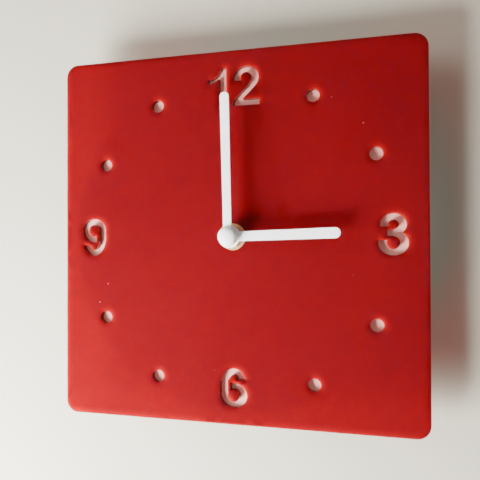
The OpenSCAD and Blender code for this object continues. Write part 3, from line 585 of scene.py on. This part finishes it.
class CLOCK_OT_dial(ClockOperator, Operator):
    """Make the red face plate, the white disc behind it and the gasket"""

    bl_idname = "clock.dial"
    bl_label = "Dial"

    BORDER = 8 * MM  # walls nearer to the outline than this are the outline's, the others are the cuts'
    NUMERALS_R = 81.5 * MM
    DOTS_R = 86.2 * MM
    DOTS_DROP = 1.9 * MM

    def execute(self, context):
        sizes, colours = context.scene.clock_sizes, context.scene.clock_colours
        bm = cad_copy("face_plate")
        round_edges(bm, sizes.plate_edge, 2)
        bm.normal_update()
        self.net(bm)
        self.glow(bm, sizes.glow_reach)
        outer = high("face_plate").x - self.BORDER
        for face in bm.faces:
            centre = face.calc_center_median()
            on_outside = max(abs(centre.x), abs(centre.z)) > outer
            face.material_index = 0 if abs(face.normal.y) > FLAT else 1 if on_outside else 2
        # Painted light on the outline's edges, painted shade on the numerals' walls.
        edge = red_cut_edge("red_cut_edge", tuple(colours.red_edge_painted_light))
        wall = red_cut_edge("red_hole_wall_painted_shade", tuple(colours.red_wall_painted_shade))
        finished(bm, "face_plate_acrylic", "face_plate", red_acrylic(colours), edge, wall)
        dressed("backing_disc", "backing_disc_acrylic", white_acrylic(colours), sizes.disc_edge, 3)
        dressed("rubber_gasket", "rubber_gasket_ring", black_rubber(), sizes.metal_edge)
        return {"FINISHED"}

    def net(self, bm):
        """Cuts the front face into small squares round each hour, round the shaft and along the outline."""
        wide, small = (17.5 * MM, 1.2 * MM), (8.4 * MM, 1.05 * MM)
        zones = [(Vector(), *small)]
        for hour in range(12):
            out = Vector((sin(hour * tau / 12), 0, cos(hour * tau / 12)))
            if hour % 3 == 0:
                zones.append((out * self.NUMERALS_R, *wide))
            else:
                zones.append((out * self.DOTS_R - Vector((0, 0, self.DOTS_DROP)), *small))
        for centre, reach, pitch in zones:
            self.cut(bm, bm.faces, centre, (-reach, reach))
            inside = [
                f for f in bm.faces
                if all(abs(f.calc_center_bounds()[k] - centre[k]) < reach for k in (0, 2))
            ]
            self.cut(bm, inside, centre, [-reach + pitch * (i + 1) for i in range(int(2 * reach / pitch))])
        rings = [high("face_plate").x - inset * MM for inset in (0.7, 1.5, 2.6, 4.0)]
        self.cut(bm, bm.faces, Vector(), rings + [-r for r in rings])

    def cut(self, bm, faces, centre, offsets):
        """Cuts those of the faces that are on the front along X and along Z, at offsets from a centre."""
        bm.normal_update()
        front = [f for f in faces if f.normal.y < -FLAT]
        edges = {e for f in front for e in f.edges}
        geom = front + list(edges) + list({v for e in edges for v in e.verts})
        for axis in (Vector((1, 0, 0)), Vector((0, 0, 1))):
            for offset in offsets:
                geom = bmesh.ops.bisect_plane(
                    bm, geom=geom, dist=JOINED, plane_co=centre + axis * offset, plane_no=axis
                )["geom"]

    def glow(self, bm, reach):
        """Marks the front near its cuts: above 0 where the key light enters the cut, below 0 where it can't.
        The red sheet's material paints these marks as glow and shade.
        """
        bm.normal_update()
        layer = bm.verts.layers.float.new("glow")
        front = {v for f in bm.faces if f.normal.y < -FLAT for v in f.verts}
        rims = []
        for vert in front:
            walls = [f.normal for f in vert.link_faces if -FLAT < f.normal.y < 0.5]
            if walls:
                out = sum(walls, Vector())
                rims.append((vert.co.copy(), Vector((out.x, 0, out.z)).normalized()))
        tree = KDTree(len(rims))
        for i, (place, _) in enumerate(rims):
            tree.insert(place, i)
        tree.balance()
        towards = Vector((TO_KEY.x, 0, TO_KEY.z)).normalized()
        for vert in front:
            _, i, distance = tree.find(vert.co)
            fade = max(0.0, 1 - distance / reach) ** 2
            vert[layer] = fade * rims[i][1].dot(towards)


class CLOCK_OT_hands(ClockOperator, Operator):
    """Make the two hands and the dome cap"""

    bl_idname = "clock.hands"
    bl_label = "Hands"

    def execute(self, context):
        sizes, colours = context.scene.clock_sizes, context.scene.clock_colours
        lacquer = hand_lacquer(colours)
        for hand in ("hour_hand", "minute_hand"):
            dressed(hand, hand + "_moulded", lacquer, sizes.hand_edge, 4)
        self.cap(lacquer)
        return {"FINISHED"}

    def cap(self, lacquer):
        """A dome over a short straight rim, with a blind bore for the shaft's tip."""
        node, steps = "hand_cap", 20
        radius, front, back = size(node).x / 2, low(node).y, high(node).y
        rim, bore, bore_depth, round_in = 0.8 * MM, 1.2 * MM, 1.7 * MM, 0.3 * MM
        dome, corner = front - back + rim, 0.3 * round_in
        angles = [i * pi / 2 / steps for i in range(steps + 1)]
        profile = [(0, back - bore_depth), (bore, back - bore_depth), (bore, back), (radius - round_in, back)]
        profile += [(radius - corner, back - corner)]
        profile += [(radius * cos(a), back - rim + dome * sin(a)) for a in angles]
        finished(lathe(profile, (0, 0, 0)), "hand_cap_dome", node, lacquer)


class CLOCK_OT_fixings(ClockOperator, Operator):
    """Make the brass washer, nut and bush, and the hanging strap with its screw"""

    bl_idname = "clock.fixings"
    bl_label = "Fixings"

    def execute(self, context):
        sizes, colours = context.scene.clock_sizes, context.scene.clock_colours
        brass = turned_brass(colours)
        dressed("brass_washer", "brass_washer_turned", brass, sizes.metal_edge)
        dressed("hex_nut", "hex_nut_turned", brass, sizes.metal_edge, 2, 20.0)
        paint("threaded_bush", brass)
        strap = plated_steel("strap_steel", tuple(colours.steel))
        screw = plated_steel("screw_steel", (0.66, 0.66, 0.68))
        dressed("hanger", "hanger_strap", strap, sizes.metal_edge)
        dressed("hanger_screw", "hanger_screw_plated", screw, sizes.metal_edge / 2)
        return {"FINISHED"}


class CLOCK_OT_case(ClockOperator, Operator):
    """Make the movement's case, rear cover and setting knob"""

    bl_idname = "clock.case"
    bl_label = "Case"

    def execute(self, context):
        sizes, colours = context.scene.clock_sizes, context.scene.clock_colours
        case = moulded_plastic("case_plastic", tuple(colours.case))
        knob = moulded_plastic("knob_plastic", (0.72, 0.72, 0.7), 1500.0, 0.4, 0.3)
        dressed("case_front", "case_front_moulded", case, sizes.moulding_edge)
        dressed("rear_cover", "rear_cover_moulded", cover_plastic(), sizes.moulding_edge)
        dressed("setting_knob", "setting_knob_moulded", knob, sizes.metal_edge)
        return {"FINISHED"}


class CLOCK_OT_battery(ClockOperator, Operator):
    """Make the cell and its two contacts"""

    bl_idname = "clock.battery"
    bl_label = "Battery"

    TURN_STEPS = 28  # pieces in each turn of the spring

    def execute(self, context):
        sizes, colours = context.scene.clock_sizes, context.scene.clock_colours
        nickel = plated_steel("contact_nickel", (0.72, 0.71, 0.69), (1.0, 18.0, 1.0), 0.25)
        self.cell(cell_sleeve(colours), nickel)
        self.spring(nickel, sizes)
        dressed("positive_contact", "positive_contact_plate", nickel, sizes.metal_edge / 2)
        return {"FINISHED"}

    def cell(self, sleeve, nickel):
        """The can, its folded sleeve at both ends, and the nub."""
        node = "battery"
        axis = Vector((0, middle(node).y, middle(node).z))
        r = size(node).z / 2
        x0, x1 = low(node).x, high(node).x
        nub_r, nub_l = 2.75 * MM, 1.2 * MM
        shoulder = x1 - nub_l
        profile = [
            # the flat end, and the sleeve folded over its rim
            (0, x0), (r - 1.3 * MM, x0), (r - 1.1 * MM, x0 + 0.25 * MM),
            (r - 0.75 * MM, x0 + 0.3 * MM), (r - 0.55 * MM, x0 + 0.2 * MM),
            (r - 0.15 * MM, x0 + 0.35 * MM), (r, x0 + 0.8 * MM),
            # the shoulder, and the dished cover round the nub
            (r, shoulder - 1.0 * MM), (r - 0.2 * MM, shoulder - 0.5 * MM),
            (r - 0.8 * MM, shoulder - 0.25 * MM), (r - 1.6 * MM, shoulder - 0.3 * MM),
            (r - 1.9 * MM, shoulder - 0.7 * MM), (nub_r + 0.9 * MM, shoulder - 0.6 * MM),
            # the nub
            (nub_r + 0.2 * MM, shoulder), (nub_r, shoulder + 0.15 * MM),
            (nub_r - 0.05 * MM, x1 - 0.35 * MM), (nub_r - 0.35 * MM, x1), (0, x1),
        ]
        fold, depth = 0.95 * MM, 1.2 * MM  # how far the sleeve folds over each end, and how deep an end goes
        bm = lathe(profile, axis, "X")
        for face in bm.faces:
            centre = face.calc_center_median() - axis
            radius = Vector((0, centre.y, centre.z)).length
            at_end = centre.x > shoulder - depth or centre.x < x0 + depth
            face.material_index = 1 if at_end and radius < r - fold else 0
        finished(bm, "battery_cell", node, sleeve, nickel)

    def spring(self, nickel, sizes):
        """A conical wire spring on its plate, swept by turning a ring of wire and drawing it in."""
        node = "negative_spring"
        lo, hi = low(node), high(node)
        centre = middle("battery")
        wire = sizes.spring_wire / 2
        bm = bmesh.new()
        made = bmesh.ops.create_cube(bm, size=1.0)
        plate = Vector((0.5 * MM, hi.y - lo.y, hi.z - lo.z))
        bmesh.ops.scale(bm, vec=plate, verts=made["verts"])
        place = Vector((lo.x + plate.x / 2, middle(node).y, middle(node).z))
        bmesh.ops.translate(bm, vec=place, verts=made["verts"])
        round_edges(bm, 0.1 * MM, 1)
        sunk = 0.1 * MM  # the wire's first turn sinks this far into the plate
        x0, x1 = lo.x + plate.x - sunk + wire, hi.x - wire
        wide, narrow = 4.3 * MM, 2.2 * MM
        steps = int(sizes.spring_turns * self.TURN_STEPS)
        ring = bmesh.ops.create_circle(bm, cap_ends=True, radius=wire, segments=10)["verts"]
        bmesh.ops.rotate(bm, cent=(0, 0, 0), matrix=Matrix.Rotation(pi / 2, 3, "Y"), verts=ring)
        bmesh.ops.rotate(bm, cent=(0, 0, 0), matrix=Matrix.Rotation(pi / 2, 3, "Z"), verts=ring)
        bmesh.ops.translate(bm, vec=(x0, centre.y, centre.z + wide), verts=ring)
        face = ring[0].link_faces[0]
        step = Matrix.Rotation(tau * sizes.spring_turns / steps, 3, "X")
        for i in range(steps):
            grown = bmesh.ops.extrude_face_region(bm, geom=[face])["geom"]
            bmesh.ops.delete(bm, geom=[face], context="FACES_ONLY")
            face = next(g for g in grown if isinstance(g, bmesh.types.BMFace))
            moved = list(face.verts)
            bmesh.ops.rotate(bm, cent=(0, centre.y, centre.z), matrix=step, verts=moved)
            arm = face.calc_center_median() - centre
            arm.x = 0
            inward = arm.normalized() * (narrow - wide) / steps
            bmesh.ops.translate(bm, vec=inward + Vector(((x1 - x0) / steps, 0, 0)), verts=moved)
        bmesh.ops.recalc_face_normals(bm, faces=bm.faces)
        finished(bm, "negative_spring_wire", node, nickel)


class CLOCK_OT_works(ClockOperator, Operator):
    """Finish the wheels, the coil and the electronics inside the case"""

    bl_idname = "clock.works"
    bl_label = "Works"

    def execute(self, context):
        colours = context.scene.clock_colours
        wheel_plastic = moulded_plastic("wheel_plastic", (0.78, 0.75, 0.66), 1600.0, 0.38, 0.25, 0.2)
        plate_plastic = moulded_plastic("train_plate_plastic", (0.7, 0.67, 0.58), 1200.0, 0.45, 0.4)
        bobbin = moulded_plastic("bobbin_plastic", (0.03, 0.03, 0.034), 1300.0, 0.45, 0.4)
        steel = plated_steel("arbor_steel", (0.62, 0.62, 0.64), (1.0, 14.0, 1.0), 0.22)
        lamination = plated_steel("lamination_steel", (0.42, 0.42, 0.44), (16.0, 1.0, 1.0), 0.4)
        can = plated_steel("crystal_can", (0.7, 0.7, 0.72), (1.0, 1.0, 10.0), 0.22)
        magnet = moulded_plastic("magnet_ferrite", (0.06, 0.06, 0.065), 1800.0, 0.5, 0.6)
        brass = turned_brass(colours)
        finishes = {
            wheel_plastic: ("hour_wheel", "minute_wheel", "third_wheel", "seconds_wheel", "fifth_wheel"),
            brass: ("cannon_pinion", "centre_wheel"),
            steel: ("minute_arbor", "third_arbor", "seconds_arbor", "fifth_arbor", "rotor_pinion"),
            plate_plastic: ("train_plate",),
            lamination: ("stator", "coil_core"),
            bobbin: ("coil_bobbin",),
            magnet: ("rotor_magnet",),
            can: ("quartz_crystal",),
            wound_wire(colours): ("coil_winding",),
            solder_mask(): ("circuit_board",),
            poured_resin(): ("chip_blob",),
        }
        for material, names in finishes.items():
            for name in names:
                paint(name, material)
        return {"FINISHED"}


class CLOCK_OT_stage(ClockOperator, Operator):
    """Make the camera, the lights, the wall and the floor"""

    bl_idname = "clock.stage"
    bl_label = "Stage"

    FLOOR_Z = -0.6
    BACKDROP_HALF = 3.0

    def execute(self, context):
        stage = context.scene.clock_stage
        self.camera(context, stage)
        self.sky(context, stage)
        front = Vector((0, low("face_plate").y, 0))
        key = front + TO_KEY * stage.key_distance
        self.lamp("key_light", front, key, stage.key_side, stage.key_power, False)
        self.lamp("side_light", front, Vector((-0.5, -0.2, 0.1)), 0.3, stage.side_power)
        self.lamp("fill_light_left", front, Vector((-0.9, -0.9, 0.45)), 0.9, stage.fill_left_power, False)
        self.lamp("fill_light_right", front, Vector((0.9, -1.1, 0.3)), 1.2, stage.fill_right_power, False)
        self.lamp("rear_light", front, Vector((0.8, 1.2, 0.7)), 0.8, stage.rear_power)
        upright = Matrix.Rotation(pi / 2, 4, "X")
        behind = (0, high("rear_cover").y + 0.4 * MM, 0)
        self.plane("wall", wall_paint(tuple(stage.wall)), upright, behind)
        self.plane("floor", wall_paint(tuple(stage.floor)), Matrix.Identity(4), (0, 0, self.FLOOR_Z))
        return {"FINISHED"}

    def camera(self, context, stage):
        data = bpy.data.cameras.new("clock_camera")
        data.lens = stage.focal
        data.sensor_width = 36.0
        data.clip_start = 0.01
        camera = bpy.data.objects.new("clock_camera", data)
        context.scene.collection.objects.link(camera)
        level = Matrix.Rotation(stage.camera_yaw, 4, "Z")
        tilted = Matrix.Rotation(pi / 2 + stage.camera_pitch, 4, "X")
        turned = level @ tilted @ Matrix.Rotation(stage.camera_roll, 4, "Z")
        place = Vector((stage.camera_x, low("face_plate").y - stage.camera_back, -stage.camera_drop))
        camera.matrix_world = Matrix.Translation(place) @ turned
        context.scene.camera = camera

    def sky(self, context, stage):
        world = bpy.data.worlds.new("soft_ambient")
        world.use_nodes = True
        background = world.node_tree.nodes["Background"]
        background.inputs["Color"].default_value = (*stage.sky, 1.0)
        background.inputs["Strength"].default_value = stage.sky_strength
        context.scene.world = world

    def lamp(self, name, target, place, side, watts, glossy=True):
        """A round soft light aimed at a target. glossy says whether it shows in reflections."""
        data = bpy.data.lights.new(name, "AREA")
        data.shape = "DISK"
        data.size = side
        data.energy = watts
        lamp = bpy.data.objects.new(name, data)
        bpy.context.scene.collection.objects.link(lamp)
        aim = (Vector(target) - Vector(place)).to_track_quat("-Z", "Y")
        lamp.matrix_world = Matrix.Translation(place) @ aim.to_matrix().to_4x4()
        lamp.visible_camera = False
        lamp.visible_glossy = glossy

    def plane(self, name, material, turned, place):
        """A one-sided backdrop: lamps, bounced light and cameras behind it pass through."""
        bm = bmesh.new()
        bmesh.ops.create_grid(bm, x_segments=1, y_segments=1, size=self.BACKDROP_HALF)
        bmesh.ops.transform(bm, matrix=Matrix.Translation(place) @ turned, verts=bm.verts)
        mesh = bpy.data.meshes.new(name)
        bm.to_mesh(mesh)
        bm.free()
        mesh.materials.append(material)
        backdrop = bpy.data.objects.new(name, mesh)
        bpy.context.scene.collection.objects.link(backdrop)
        backdrop.visible_shadow = False
        backdrop.visible_diffuse = False
        backdrop.visible_glossy = False


class CLOCK_PT_panel(Panel):
    """Lists the clock's pieces in the sidebar"""

    bl_label = "Wall clock"
    bl_idname = "CLOCK_PT_panel"
    bl_space_type = "VIEW_3D"
    bl_region_type = "UI"
    bl_category = "Wall clock"

    def draw(self, context):
        for operator in OPERATORS:
            self.layout.operator(operator.bl_idname)
        for group in ("clock_sizes", "clock_colours", "clock_stage"):
            settings = getattr(context.scene, group)
            box = self.layout.box()
            for name in settings.__annotations__:
                box.prop(settings, name)


OPERATORS = (
    CLOCK_OT_stage, CLOCK_OT_dial, CLOCK_OT_hands, CLOCK_OT_fixings,
    CLOCK_OT_case, CLOCK_OT_battery, CLOCK_OT_works,
)
GROUPS = {"clock_sizes": ClockSizes, "clock_colours": ClockColours, "clock_stage": ClockStage}


def register():
    for group in GROUPS.values():
        bpy.utils.register_class(group)
    for name, group in GROUPS.items():
        setattr(bpy.types.Scene, name, PointerProperty(type=group))
    for operator in OPERATORS:
        bpy.utils.register_class(operator)
    bpy.utils.register_class(CLOCK_PT_panel)


def unregister():
    bpy.utils.unregister_class(CLOCK_PT_panel)
    for operator in reversed(OPERATORS):
        bpy.utils.unregister_class(operator)
    for name, group in GROUPS.items():
        delattr(bpy.types.Scene, name)
        bpy.utils.unregister_class(group)


def main():
    register()
    bpy.ops.clock.stage()
    bpy.ops.clock.dial()
    bpy.ops.clock.hands()
    bpy.ops.clock.fixings()
    bpy.ops.clock.case()
    bpy.ops.clock.battery()
    bpy.ops.clock.works()


if __name__ == "__main__":
    main()
